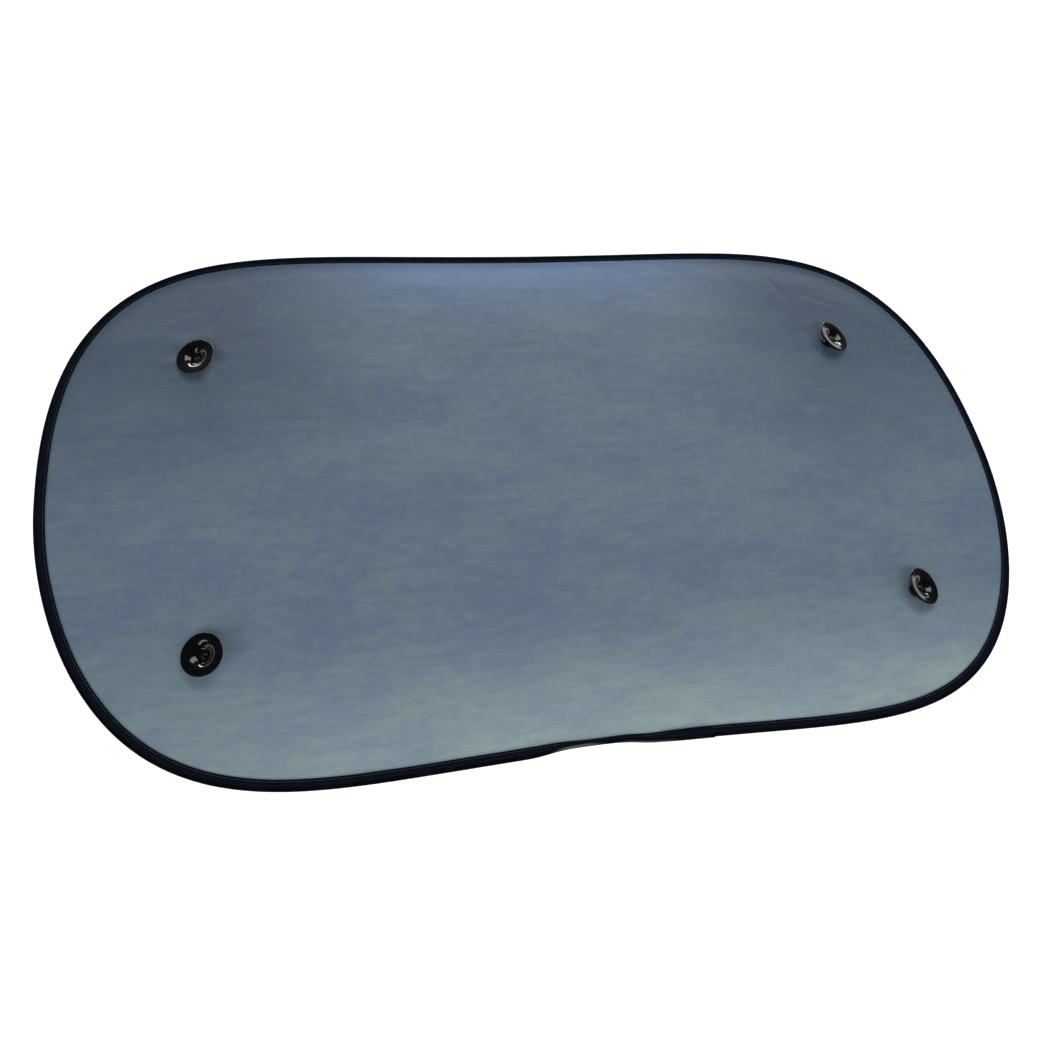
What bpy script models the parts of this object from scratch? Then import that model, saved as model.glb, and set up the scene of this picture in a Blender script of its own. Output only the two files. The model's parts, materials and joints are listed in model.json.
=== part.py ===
"""Car sunshade for a rear window: a springy panel of bound mesh with four suction cups.

It lies face up on a flat surface, on its two ends, with its lower long edge towards -Y.
"""

import math

import bpy
import numpy as np
from mathutils import Matrix, Vector
from mathutils.geometry import delaunay_2d_cdt

# Flat outline of the panel, over the binding
PANEL_LENGTH = 1.000
PANEL_HEIGHT = 0.608
END_POWER = 5.17
UPPER_POWER = 2.41
LOWER_POWER = 1.85
WAIST = 0.066

# How far the sprung panel falls away from its middle
END_DROP = 0.015
LONG_EDGE_DROP = 0.009

# Cloth, binding tape and frame wire
CLEARANCE = 0.0003
MESH_THICKNESS = 0.0004
TAPE_THICKNESS = 0.0005
TAPE_WIDTH = 0.0105
TAPE_SEAM = 0.0068
TAPE_OVERLAP = 0.028
WIRE_RADIUS = 0.0010
WIRE_END_GAP = 0.001
FERRULE_WALL = 0.0006
FERRULE_LENGTH = 0.018

# Where the binding is joined, on the lower edge, and how far the joint pulls the edge in
JOINT_X = -0.020
JOINT_DENT = 0.004
JOINT_SPREAD = 0.045
JOINT_TAPER = 0.004

# Suction cups
CUP_END_INSET = 0.1503
UPPER_CUP_INSET = 0.151
LOWER_CUP_INSET = 0.1425
CUP_LEAN = math.radians(19)
RIM_RADIUS = 0.020
RIM_HEIGHT = 0.0120
LIP_WIDTH = 0.0014
LIP_BEVEL = 0.0006
BOWL_DEPTH = 0.0070
BOSS_RADIUS = 0.0028
BOSS_HEIGHT = 0.0010
SHOULDER_RADIUS = 0.0165
SHOULDER_HEIGHT = 0.0070
ROOT_RADIUS = 0.0050
ROOT_HEIGHT = 0.0038
NECK_RADIUS = 0.0030
HEAD_RADIUS = 0.0055
HEAD_DEPTH = 0.0030

# Eyelets
FLANGE_RADIUS = 0.0075
FLANGE_THICKNESS = 0.0010
FLANGE_EDGE = 0.0004
EYELET_WALL = 0.0005
WASHER_THICKNESS = 0.0008
ROLL_THICKNESS = 0.0005
ROLL_REACH = 0.0012

# How finely the curves are divided
RIM_STATIONS = 108
FOLD_STEPS = 6
CLOTH_GRID = 0.055
CUP_SEGMENTS = 24
EYELET_SEGMENTS = 20
BOWL_STEPS = 6
JOINT_STEPS = 4

# Sizes that follow from those above
FERRULE_BORE = WIRE_RADIUS + CLEARANCE
FERRULE_RADIUS = FERRULE_BORE + FERRULE_WALL
FOLD_RADIUS = FERRULE_RADIUS + CLEARANCE
WIRE_INSET = FOLD_RADIUS + TAPE_THICKNESS
CLOTH_INSET = WIRE_INSET + FOLD_RADIUS + CLEARANCE
CLOTH_FACE = MESH_THICKNESS / 2 + CLEARANCE
WASHER_BACK = CLOTH_FACE + WASHER_THICKNESS
ROLL_FRONT = WASHER_BACK + CLEARANCE
EYELET_BACK = ROLL_FRONT + ROLL_THICKNESS
EYELET_BORE = NECK_RADIUS / math.cos(CUP_LEAN) + EYELET_BACK * math.tan(CUP_LEAN) + CLEARANCE
BARREL_RADIUS = EYELET_BORE + EYELET_WALL
HOLE_RADIUS = BARREL_RADIUS + CLEARANCE
HEAD_FRONT = (EYELET_BACK + CLEARANCE + HEAD_RADIUS * math.sin(CUP_LEAN)) / math.cos(CUP_LEAN)

CUP_X = PANEL_LENGTH / 2 - CUP_END_INSET
UPPER_CUP_Y = PANEL_HEIGHT / 2 - UPPER_CUP_INSET
LOWER_CUP_Y = LOWER_CUP_INSET - PANEL_HEIGHT / 2

CUPS = {
    "upper_left": (-CUP_X, UPPER_CUP_Y),
    "upper_right": (CUP_X, UPPER_CUP_Y),
    "lower_left": (-CUP_X, LOWER_CUP_Y),
    "lower_right": (CUP_X, LOWER_CUP_Y),
}


def clear_scene():
    for old in list(bpy.data.objects):
        bpy.data.objects.remove(old)


def make_material(name, colour, roughness, metallic=0.0):
    material = bpy.data.materials.new(name)
    material.use_nodes = True
    shader = material.node_tree.nodes["Principled BSDF"]
    shader.inputs["Base Color"].default_value = (*colour, 1)
    shader.inputs["Roughness"].default_value = roughness
    shader.inputs["Metallic"].default_value = metallic
    material.diffuse_color = (*colour, 1)
    return material


def add_object(name, data, material, collection):
    data.materials.append(material)
    made = bpy.data.objects.new(name, data)
    collection.objects.link(made)
    return made


def joint_pull(x):
    """How strongly the joint of the binding acts at this place along the lower edge, from 0 to 1."""
    return math.exp(-(((x - JOINT_X) / JOINT_SPREAD) ** 4))


def outline_point(angle):
    """A point of the panel's outline, a waisted superellipse, at this angle round it."""
    along = math.cos(angle)
    power = UPPER_POWER if math.sin(angle) >= 0 else LOWER_POWER
    rise = (1 - abs(along) ** END_POWER) ** (1 / power) * (1 - WAIST * (1 - along**2) ** 2)
    x = along * PANEL_LENGTH / 2
    y = math.copysign(rise, math.sin(angle)) * PANEL_HEIGHT / 2
    if y < 0:
        y += JOINT_DENT * joint_pull(x)
    return x, y


def rim_loop():
    """Evenly spaced points round the outline with their inward directions, starting at the joint."""
    start = -math.acos(JOINT_X / (PANEL_LENGTH / 2))
    fine = np.array([outline_point(a) for a in np.linspace(start, start + 2 * math.pi, 4001)])
    walked = np.concatenate([[0], np.cumsum(np.hypot(*np.diff(fine, axis=0).T))])
    stops = np.linspace(0, walked[-1], RIM_STATIONS, endpoint=False)
    points = np.stack([np.interp(stops, walked, fine[:, axis]) for axis in (0, 1)], axis=1)
    ahead = np.roll(points, -1, axis=0) - np.roll(points, 1, axis=0)
    inward = np.stack([-ahead[:, 1], ahead[:, 0]], axis=1)
    inward /= np.linalg.norm(inward, axis=1, keepdims=True)
    return points, inward, stops[1]


def sheet_normal(x, y):
    slope_x = END_DROP * 8 * x / PANEL_LENGTH**2
    slope_y = LONG_EDGE_DROP * 8 * y / PANEL_HEIGHT**2
    return Vector((slope_x, slope_y, 1)).normalized()


def on_sheet(x, y, lift=0.0):
    """The place in space of a point of the flat pattern, lifted off the middle of the cloth."""
    drop = END_DROP * (2 * x / PANEL_LENGTH) ** 2 + LONG_EDGE_DROP * (2 * y / PANEL_HEIGHT) ** 2
    return Vector((x, y, -drop)) + sheet_normal(x, y) * lift


def frame_at(place, axis, side):
    """A matrix whose origin is place and whose Z runs along axis."""
    across = (side - axis * side.dot(axis)).normalized()
    turned = Matrix((across, axis.cross(across), axis)).transposed()
    return Matrix.Translation(place) @ turned.to_4x4()


def rim_place(station, inset, lift=0.0):
    """A point by its inset from a station of the rim; the number of the station may be fractional."""
    whole = math.floor(station)
    part = station - whole
    ends = []
    for number in (whole, whole + 1):
        number %= RIM_STATIONS
        flat = RIM_POINTS[number] + RIM_INWARD[number] * inset
        ends.append(on_sheet(*flat, lift))
    return ends[0].lerp(ends[1], part)


def sweep(name, sections, material, collection):
    """A closed body through sections, each a list of pairs (inner point, outer point) of a wall."""
    vertices, faces = [], []
    pairs = len(sections[0])
    for section in sections:
        vertices += [inner for inner, _ in section] + [outer for _, outer in section]
    ring = list(range(pairs)) + list(range(2 * pairs - 1, pairs - 1, -1))
    for number in range(len(sections) - 1):
        near, far = number * 2 * pairs, (number + 1) * 2 * pairs
        for a, b in zip(ring, ring[1:] + ring[:1]):
            faces.append((near + a, far + a, far + b, near + b))
    last = (len(sections) - 1) * 2 * pairs
    for k in range(pairs - 1):
        faces.append((k, k + 1, pairs + k + 1, pairs + k))
        faces.append((last + k, last + pairs + k, last + pairs + k + 1, last + k + 1))
    mesh = bpy.data.meshes.new(name)
    mesh.from_pydata(vertices, [], faces)
    return add_object(name, mesh, material, collection)


def fold_line(radius, half_gap, width):
    """One face of the folded tape in its cross-section, as (inset, lift) from flap to flap."""
    reach = TAPE_SEAM - WIRE_INSET
    leave = math.atan2(half_gap, reach) + math.acos(radius / math.hypot(half_gap, reach))
    line = [(width, half_gap), (TAPE_SEAM, half_gap)]
    for step in range(FOLD_STEPS + 1):
        turn = leave + (2 * math.pi - 2 * leave) * step / FOLD_STEPS
        line.append((WIRE_INSET + radius * math.cos(turn), radius * math.sin(turn)))
    return line + [(TAPE_SEAM, -half_gap), (width, -half_gap)]


def tape_section(station, layer):
    """The wall of the tape at a station; layer 0 lies next to the cloth and 1 over the tape's start."""
    spread = layer * (TAPE_THICKNESS + CLEARANCE)
    x = rim_place(station, 0).x
    near_joint = min(station, RIM_STATIONS - station) < RIM_STATIONS / 4
    width = TAPE_WIDTH - (JOINT_TAPER * joint_pull(x) if near_joint else 0) * (1 - layer)
    inner = fold_line(FOLD_RADIUS + spread, CLOTH_FACE + spread, width)
    outer = fold_line(
        FOLD_RADIUS + spread + TAPE_THICKNESS, CLOTH_FACE + spread + TAPE_THICKNESS, width
    )
    return [
        (rim_place(station, *a), rim_place(station, *b)) for a, b in zip(inner, outer)
    ]


def make_binding(material, collection):
    """One length of tape folded over the rim, its far end climbing over its start."""
    overlap = TAPE_OVERLAP / STATION_STEP
    climb_end = RIM_STATIONS
    climb_start = climb_end - overlap
    sections = [tape_section(number, 0) for number in range(math.ceil(climb_start))]
    for step in range(JOINT_STEPS + 1):
        share = step / JOINT_STEPS
        eased = share * share * (3 - 2 * share)
        sections.append(tape_section(climb_start + overlap * share, eased))
    for step in range(1, JOINT_STEPS + 1):
        sections.append(tape_section(climb_end + overlap * step / JOINT_STEPS, 1))
    return sweep("edge_binding", sections, material, collection)


def make_cloth(material, collection):
    """The mesh sheet: its flat pattern with four holes, sprung into shape and given its thickness."""
    edge = RIM_POINTS + RIM_INWARD * CLOTH_INSET
    seam = RIM_POINTS + RIM_INWARD * (TAPE_WIDTH + CLEARANCE)
    points = [Vector(p) for p in np.concatenate([edge, seam])]
    size = len(edge)
    rims = [(k, (k + 1) % size) for k in range(size)]
    rims += [(size + k, size + (k + 1) % size) for k in range(size)]
    holes = list(CUPS.values())
    for x, y in holes:
        for radius in (HOLE_RADIUS, FLANGE_RADIUS + CLEARANCE, 2 * FLANGE_RADIUS):
            first = len(points)
            for step in range(EYELET_SEGMENTS):
                turn = 2 * math.pi * step / EYELET_SEGMENTS
                points.append(Vector((x + radius * math.cos(turn), y + radius * math.sin(turn))))
                rims.append((first + step, first + (step + 1) % EYELET_SEGMENTS))
    for x in np.arange(-PANEL_LENGTH / 2, PANEL_LENGTH / 2, CLOTH_GRID):
        for y in np.arange(-PANEL_HEIGHT / 2, PANEL_HEIGHT / 2, CLOTH_GRID):
            _, edge_y = outline_point(math.copysign(math.acos(2 * x / PANEL_LENGTH), y))
            from_seam = np.hypot(*(seam - (x, y)).T).min()
            from_hole = min(math.hypot(x - hx, y - hy) for hx, hy in holes)
            if abs(y) < abs(edge_y) and min(from_seam, from_hole) > CLOTH_GRID / 2:
                points.append(Vector((x, y)))
    flat, _, triangles, *_ = delaunay_2d_cdt(points, rims, [], 1, 1e-6)
    kept = []
    for triangle in triangles:
        middle = sum((flat[k] for k in triangle), Vector((0, 0))) / len(triangle)
        if min((middle - Vector(hole)).length for hole in holes) > HOLE_RADIUS:
            kept.append(triangle)
    mesh = bpy.data.meshes.new("mesh_panel")
    mesh.from_pydata([on_sheet(*p) for p in flat], [], kept)
    cloth = add_object("mesh_panel", mesh, material, collection)
    thicken = cloth.modifiers.new("Thickness", "SOLIDIFY")
    thicken.thickness = MESH_THICKNESS
    thicken.offset = 0
    return cloth


def make_wire(material, collection):
    """The frame wire, from one side of the joint round to the other."""
    half_gap = WIRE_END_GAP / 2 / STATION_STEP
    stations = [half_gap, *range(1, RIM_STATIONS), RIM_STATIONS - half_gap]
    path = bpy.data.curves.new("frame_wire", "CURVE")
    path.dimensions = "3D"
    path.bevel_depth = WIRE_RADIUS
    path.bevel_resolution = 1
    path.use_fill_caps = True
    line = path.splines.new("POLY")
    line.points.add(len(stations) - 1)
    for point, station in zip(line.points, stations):
        point.co = (*rim_place(station, WIRE_INSET), 1)
    return add_object("frame_wire", path, material, collection)


def lathe(name, profile, closed, segments, frame, material, collection):
    """A body turned from a profile of (radius, height) points that runs down its outer side."""
    edges = [(k, k + 1) for k in range(len(profile) - 1)]
    if closed:
        edges.append((len(profile) - 1, 0))
    mesh = bpy.data.meshes.new(name)
    mesh.from_pydata([(radius, 0, height) for radius, height in profile], edges, [])
    made = add_object(name, mesh, material, collection)
    turn = made.modifiers.new("Turn", "SCREW")
    turn.steps = turn.render_steps = segments
    turn.use_merge_vertices = True
    turn.merge_threshold = 1e-6
    made.matrix_world = frame
    return made


def cup_profile():
    """Half of a suction cup's section, from the middle of its bowl round to the tip of its head."""
    mouth = RIM_RADIUS - LIP_WIDTH
    profile = [(0, RIM_HEIGHT - BOWL_DEPTH + BOSS_HEIGHT)]
    profile.append((BOSS_RADIUS * 0.7, RIM_HEIGHT - BOWL_DEPTH + BOSS_HEIGHT))
    for step in range(BOWL_STEPS + 1):
        radius = BOSS_RADIUS + (mouth - BOSS_RADIUS) * step / BOWL_STEPS
        profile.append((radius, RIM_HEIGHT - BOWL_DEPTH * (1 - (radius / mouth) ** 2)))
    profile += [
        (RIM_RADIUS - LIP_BEVEL / 2, RIM_HEIGHT),
        (RIM_RADIUS, RIM_HEIGHT - LIP_BEVEL),
        (SHOULDER_RADIUS, SHOULDER_HEIGHT),
        (ROOT_RADIUS, ROOT_HEIGHT),
        (NECK_RADIUS, ROOT_HEIGHT - (ROOT_RADIUS - NECK_RADIUS) / 2),
        (NECK_RADIUS, -HEAD_FRONT),
        (HEAD_RADIUS, -HEAD_FRONT),
        (HEAD_RADIUS, -HEAD_FRONT - HEAD_DEPTH / 3),
        (HEAD_RADIUS / 2, -HEAD_FRONT - HEAD_DEPTH),
        (0, -HEAD_FRONT - HEAD_DEPTH),
    ]
    return profile


def eyelet_profile():
    """The section of an eyelet: a flange in front, a barrel and the edge rolled out behind."""
    front = CLOTH_FACE + FLANGE_THICKNESS
    return [
        (EYELET_BORE, front - FLANGE_EDGE),
        (EYELET_BORE + FLANGE_EDGE, front),
        (FLANGE_RADIUS - 2 * FLANGE_THICKNESS, front),
        (FLANGE_RADIUS, CLOTH_FACE + FLANGE_EDGE),
        (FLANGE_RADIUS, CLOTH_FACE),
        (BARREL_RADIUS, CLOTH_FACE),
        (BARREL_RADIUS, -ROLL_FRONT),
        (BARREL_RADIUS + ROLL_REACH, -ROLL_FRONT),
        (BARREL_RADIUS + ROLL_REACH / 2, -EYELET_BACK),
        (EYELET_BORE, -EYELET_BACK),
    ]


def washer_profile():
    """The section of the flat washer that the eyelet is set into."""
    edge = FLANGE_EDGE / 2
    outer = FLANGE_RADIUS - FLANGE_EDGE
    return [
        (outer, -CLOTH_FACE),
        (outer, -WASHER_BACK + edge),
        (outer - edge, -WASHER_BACK),
        (HOLE_RADIUS, -WASHER_BACK),
        (HOLE_RADIUS, -CLOTH_FACE),
    ]


def make_fixings(rubber, metal, collection):
    """A cup leaning outwards in its eyelet, and the eyelet's washer, at each corner."""
    for corner, (x, y) in CUPS.items():
        place, normal = on_sheet(x, y), sheet_normal(x, y)
        outward = Vector((math.copysign(1, x), 0, 0))
        flat = frame_at(place, normal, outward)
        axis = normal * math.cos(CUP_LEAN) + flat.col[0].to_3d() * math.sin(CUP_LEAN)
        leaning = frame_at(place, axis, outward)
        for name, profile, closed, segments, frame, material in (
            ("suction_cup_", cup_profile(), False, CUP_SEGMENTS, leaning, rubber),
            ("eyelet_", eyelet_profile(), True, EYELET_SEGMENTS, flat, metal),
            ("eyelet_washer_", washer_profile(), True, EYELET_SEGMENTS, flat, metal),
        ):
            lathe(name + corner, profile, closed, segments, frame, material, collection)


def make_ferrule(material, collection):
    """The crimped tube round the two ends of the wire."""
    place = rim_place(0, WIRE_INSET)
    ahead = (rim_place(1, WIRE_INSET) - rim_place(-1, WIRE_INSET)).normalized()
    half = FERRULE_LENGTH / 2
    profile = [
        (FERRULE_RADIUS, half),
        (FERRULE_RADIUS, -half),
        (FERRULE_BORE, -half),
        (FERRULE_BORE, half),
    ]
    frame = frame_at(place, ahead, Vector((0, 1, 0)))
    return lathe("wire_ferrule", profile, True, EYELET_SEGMENTS, frame, material, collection)


def set_on_floor(objects):
    """Moves everything so that the middle of the binding's footprint is the origin, at floor level."""
    corners = [vertex.co for vertex in bpy.data.objects["edge_binding"].data.vertices]
    shift = Vector()
    for axis in range(2):
        shift[axis] = -(min(c[axis] for c in corners) + max(c[axis] for c in corners)) / 2
    shift.z = -min(corner.z for corner in corners)
    for made in objects:
        made.location += shift


clear_scene()
SUNSHADE = bpy.data.collections.new("car_sunshade")
bpy.context.scene.collection.children.link(SUNSHADE)
RIM_POINTS, RIM_INWARD, STATION_STEP = rim_loop()
CLOTH = make_material("mesh_cloth", (0.115, 0.150, 0.190), 0.75)
TAPE = make_material("binding_tape", (0.012, 0.014, 0.020), 0.70)
STEEL = make_material("spring_steel", (0.50, 0.50, 0.52), 0.30, metallic=1.0)
RUBBER = make_material("black_pvc", (0.010, 0.010, 0.011), 0.22)
EYELET_PAINT = make_material("eyelet_black", (0.020, 0.020, 0.022), 0.35)
make_cloth(CLOTH, SUNSHADE)
make_binding(TAPE, SUNSHADE)
make_wire(STEEL, SUNSHADE)
make_ferrule(STEEL, SUNSHADE)
make_fixings(RUBBER, EYELET_PAINT, SUNSHADE)
set_on_floor(SUNSHADE.objects)
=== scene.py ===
"""The looks of a rear-window sunshade: taut grey-blue cloth in a folded binding, with four suction cups."""

import json
import math

import bpy
import numpy as np
from mathutils import Matrix, Vector, noise
from mathutils.geometry import delaunay_2d_cdt


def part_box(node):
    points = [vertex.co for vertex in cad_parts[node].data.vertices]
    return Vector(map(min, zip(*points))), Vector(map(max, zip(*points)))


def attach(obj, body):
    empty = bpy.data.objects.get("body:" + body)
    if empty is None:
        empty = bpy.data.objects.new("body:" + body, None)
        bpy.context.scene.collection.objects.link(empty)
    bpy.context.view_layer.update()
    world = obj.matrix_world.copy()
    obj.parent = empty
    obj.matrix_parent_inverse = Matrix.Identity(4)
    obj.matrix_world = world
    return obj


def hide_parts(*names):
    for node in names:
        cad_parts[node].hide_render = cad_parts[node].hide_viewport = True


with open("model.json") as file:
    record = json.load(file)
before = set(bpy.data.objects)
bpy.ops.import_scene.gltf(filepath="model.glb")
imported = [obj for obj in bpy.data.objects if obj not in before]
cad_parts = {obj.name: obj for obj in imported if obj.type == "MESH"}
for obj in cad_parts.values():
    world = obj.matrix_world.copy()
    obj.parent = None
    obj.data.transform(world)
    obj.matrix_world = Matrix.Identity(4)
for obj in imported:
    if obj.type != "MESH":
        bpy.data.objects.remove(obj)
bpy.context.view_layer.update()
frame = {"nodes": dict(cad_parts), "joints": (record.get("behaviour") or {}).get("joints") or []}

# Camera, in the frame of the shade
CAMERA_PLACE = Vector((-0.2618, -0.4682, 0.8658))
CAMERA_TURN = (math.radians(27.015), math.radians(-9.584), math.radians(-9.350))
SENSOR_WIDTH = 36.0
LENS = 33.82

# Flat pattern of the panel and how it is sprung
PANEL_LENGTH = 1.000
PANEL_HEIGHT = 0.608
END_POWER = 5.17
UPPER_POWER = 2.41
LOWER_POWER = 1.85
WAIST = 0.066
END_DROP = 0.015
LONG_EDGE_DROP = 0.009
JOINT_X = -0.020
JOINT_DENT = 0.004
JOINT_SPREAD = 0.045
OUTLINE_STEPS = 2001
FINE_OUTLINE_STEPS = 24001

# Cloth, and the rings of points along its edge
CLOTH_THICKNESS = 0.0004
THREAD_PITCH = 0.0009
CLOTH_STEP = 0.0042
GRID_ROOM = CLOTH_STEP * 0.6
EDGE_RINGS = (0.0055, 0.0085, 0.0115)
EDGE_STATIONS = 640
RIM_STATIONS = 800
DISTANCE_PARTS = 16

# Ripples in the cloth, which die out towards its edge and its holes
BROAD_RIPPLE = 0.0020
FINE_RIPPLE = 0.00045
CALM_EDGE = 0.013
EDGE_FADE = 0.030
CALM_HOLE = 0.011
HOLE_FADE = 0.012
PUCKER_HEIGHT = 0.00035
PUCKER_FOLDS = 7
PUCKER_RADIUS = 0.020
PUCKER_WIDTH = 0.022
SWELL_HEIGHT = 0.0010
SWELL_RADIUS = 0.026
SWELL_WIDTH = 0.012

# Binding tape
TAPE_THICKNESS = 0.0005
TAPE_WIDTH = 0.0103
TAPE_NARROWING = 0.0014
TAPE_WANDER = 0.00030
TAPE_SEAM = 0.0066
SEAM_ROOM = 0.0003
TAPE_START_X = 0.067
TAPE_OVERLAP = 0.028
TAPE_GAP = 0.0004
LAYER_GAP = 0.0002
FOLD_RADIUS = 0.0022
FOLD_WANDER = 0.00008
WIRE_INSET = 0.0027
FLAP_CURL = 0.00015
RIB_PITCH = 0.0011
STRAND_PITCH = 0.0007
TAPE_STATIONS = 1200
FOLD_STEPS = 14
FLAP_STEPS = 5

# The far end of the tape: where it is pinched, and where painted light shows on its twisted end as grey
# slivers (middle, half length, share)
FAR_END = 0.75
PINCHED_WIDTH = 0.0059
PINCH_BEGINS = -0.085
PINCH_GROWS_OVER = 0.062
PINCH_EASES = -0.014
PINCH_EASES_OVER = 0.076
PINCH_EASED = 0.92
SLIVERS = ((-0.036, 0.020, 1.0), (0.030, 0.022, 0.7))
SLIVER_REACH = 0.0013
SLIVER_EDGE = 0.0006
SLIVER_LOW = -0.0024
SLIVER_LOW_FADE = 0.001

# Sewing thread
STITCH_MARGIN = 0.0019
STITCH_ROOM = 0.0080
STITCH_LENGTH = 0.0031
STITCH_PITCH = 0.0038
STITCH_DIP = 0.00012
STITCH_DIP_WIDTH = 0.0006
STITCH_WANDER = 0.00015
STITCH_RISES = ((0.0, -0.00022), (0.14, 0.00006), (0.5, 0.00012), (0.86, 0.00006), (1.0, -0.00022))
SEAM_STATIONS = 6000
THREAD_RADIUS = 0.00017
THREAD_SIDES = 6

# Suction cups, measured along the cup's own axis from the middle of the cloth
RIM_RADIUS = 0.0200
RIM_HEIGHT = 0.0120
LIP_WIDTH = 0.0014
LIP_EDGE = 0.0006
LIP_ROUNDING = 0.0003
BOSS_RADIUS = 0.0028
BOSS_HEIGHT = 0.0010
BOSS_DIMPLE = 0.0003
WALL_SKIN = 0.0006
SHOULDER_RADIUS = 0.0165
SHOULDER_HEIGHT = 0.0070
ROOT_RADIUS = 0.0050
ROOT_HEIGHT = 0.0038
NECK_RADIUS = 0.0030
HEAD_RADIUS = 0.0055
HEAD_FRONT = 0.0048
HEAD_DEPTH = 0.0030
CUP_STEPS = 96

# The bowl's rise from its middle to its lip, as (radius, rise) before its edges are rounded
BOWL_FORM = (
    (0, 0),
    (0.0068, 0.0003),
    (0.0080, 0.0015),
    (0.0095, 0.0027),
    (0.0110, 0.0036),
    (0.0126, 0.0042),
    (0.0186, 0.0049),
)
BOWL_ROUNDING = 0.0010
BOWL_STEPS = 60

# Eyelets and their washers, measured from the middle of the cloth
EYELET_BORE = 0.0042
EYELET_WALL = 0.0005
FLANGE_RADIUS = 0.0075
FLANGE_FACE = 0.0005
FLANGE_THICKNESS = 0.0010
ROLL_BACK = 0.0021
ROLL_REACH = 0.0012
WASHER_THICKNESS = 0.0008
EYELET_STEPS = 64

# Rings of points in the cloth round each hole, each with more points than the one inside it
HOLE_RINGS = (EYELET_BORE + 0.0008, 0.0070, FLANGE_RADIUS + 0.0003, 0.0125)
HOLE_STATIONS = 36
HOLE_STATIONS_MORE = 6

# Stage: each softbox has a place, an aim, a size and a power, and may show in the shade's gloss
FLOOR_SIZE = 30
FLOOR_HEIGHT = -0.0002
SOFTBOXES = {
    "key_softbox": ((0, -1.1, 1.25), (0, -0.1, 0), (1.2, 0.6), 11, False),
    "left_softbox": ((-1.25, -1.05, 0.62), (-0.2, 0, 0), (0.9, 0.6), 12, False),
    "right_softbox": ((1.35, -0.95, 0.62), (0.2, 0, 0), (0.9, 0.6), 9, False),
    "low_front_strip": ((0.2, -0.8, 0.2), (0.1, -0.1, 0), (1.3, 0.12), 3, False),
    "ceiling_strip": ((0.5, 1.1, 1.8), (0.3, 0.5, 0), (1.9, 1.3), 30, True),
    "left_strip": ((-1.35, -0.62, 0.90), (-0.35, 0, 0), (1.1, 0.3), 3.5, True),
    "back_strip": ((0.25, 2.2, 0.225), (0.25, 0, 0.15), (3.9, 0.25), 62, True),
}

CORNERS = ("upper_left", "upper_right", "lower_left", "lower_right")
SWIVELS = {joint["child"]: joint for joint in frame["joints"]}


def outline_at(angles):
    """Points of the flat outline at these angles round it, as an array of (x, y)."""
    along, side = np.cos(angles), np.sin(angles)
    power = np.where(side >= 0, UPPER_POWER, LOWER_POWER)
    rise = (1 - np.abs(along) ** END_POWER) ** (1 / power) * (1 - WAIST * (1 - along**2) ** 2)
    x = along * PANEL_LENGTH / 2
    y = np.copysign(rise, side) * PANEL_HEIGHT / 2
    pull = np.exp(-(((x - JOINT_X) / JOINT_SPREAD) ** 4))
    return np.stack([x, y + np.where(y < 0, JOINT_DENT * pull, 0)], axis=1)


ROUND = outline_at(np.linspace(0, 2 * math.pi, OUTLINE_STEPS))
PATTERN_SHIFT = np.array([0, -(ROUND[:, 1].max() + ROUND[:, 1].min()) / 2])
CLOTH_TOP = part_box("mesh_panel")[1].z - CLOTH_THICKNESS / 2


def normals_at(flat):
    """Unit normals of the sprung sheet at points of the flat pattern."""
    slope_x = END_DROP * 8 * flat[:, 0] / PANEL_LENGTH**2
    slope_y = LONG_EDGE_DROP * 8 * flat[:, 1] / PANEL_HEIGHT**2
    found = np.stack([slope_x, slope_y, np.ones(len(flat))], axis=1)
    return found / np.linalg.norm(found, axis=1, keepdims=True)


def on_sheet(flat, lift):
    """Places in the frame for points of the flat pattern, lifted off the middle of the cloth."""
    drop = END_DROP * (2 * flat[:, 0] / PANEL_LENGTH) ** 2
    drop += LONG_EDGE_DROP * (2 * flat[:, 1] / PANEL_HEIGHT) ** 2
    places = np.column_stack([flat + PATTERN_SHIFT, CLOTH_TOP - drop])
    return places + normals_at(flat) * np.reshape(lift, (-1, 1))


def walk_round(count):
    """Even points round the outline from the tape's start on, their inward directions, and its length."""
    start = -math.acos(TAPE_START_X / (PANEL_LENGTH / 2))
    fine = outline_at(np.linspace(start, start + 2 * math.pi, FINE_OUTLINE_STEPS))
    walked = np.concatenate([[0], np.cumsum(np.hypot(*np.diff(fine, axis=0).T))])
    stops = np.linspace(0, walked[-1], count, endpoint=False)
    points = np.stack([np.interp(stops, walked, fine[:, k]) for k in (0, 1)], axis=1)
    ahead = np.roll(points, -1, axis=0) - np.roll(points, 1, axis=0)
    inward = np.stack([-ahead[:, 1], ahead[:, 0]], axis=1)
    return points, inward / np.linalg.norm(inward, axis=1, keepdims=True), walked[-1]


def select_none():
    if bpy.context.mode != "OBJECT":
        bpy.ops.object.mode_set(mode="OBJECT")
    bpy.ops.object.select_all(action="DESELECT")


def pick(made):
    select_none()
    made.select_set(True)
    bpy.context.view_layer.objects.active = made


def from_arrays(name, places, faces):
    mesh = bpy.data.meshes.new(name)
    mesh.from_pydata([tuple(p) for p in places], [], faces)
    mesh.validate()
    made = bpy.data.objects.new(name, mesh)
    bpy.context.scene.collection.objects.link(made)
    mesh.shade_smooth()
    return made


def give_map(made, name, spots):
    """A UV map from one flat place for each point of the mesh."""
    layer = made.data.uv_layers.new(name=name)
    numbers = np.empty(len(made.data.loops), np.int32)
    made.data.loops.foreach_get("vertex_index", numbers)
    layer.data.foreach_set("uv", spots[numbers].astype(np.float32).ravel())


def mark_points(made, name, values):
    """An attribute with one number for each point of the mesh."""
    marks = made.data.attributes.new(name, "FLOAT", "POINT")
    marks.data.foreach_set("value", np.asarray(values, np.float32))


def apply_all(made):
    pick(made)
    for modifier in list(made.modifiers):
        bpy.ops.object.modifier_apply(modifier=modifier.name)


# Shader helpers


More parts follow.
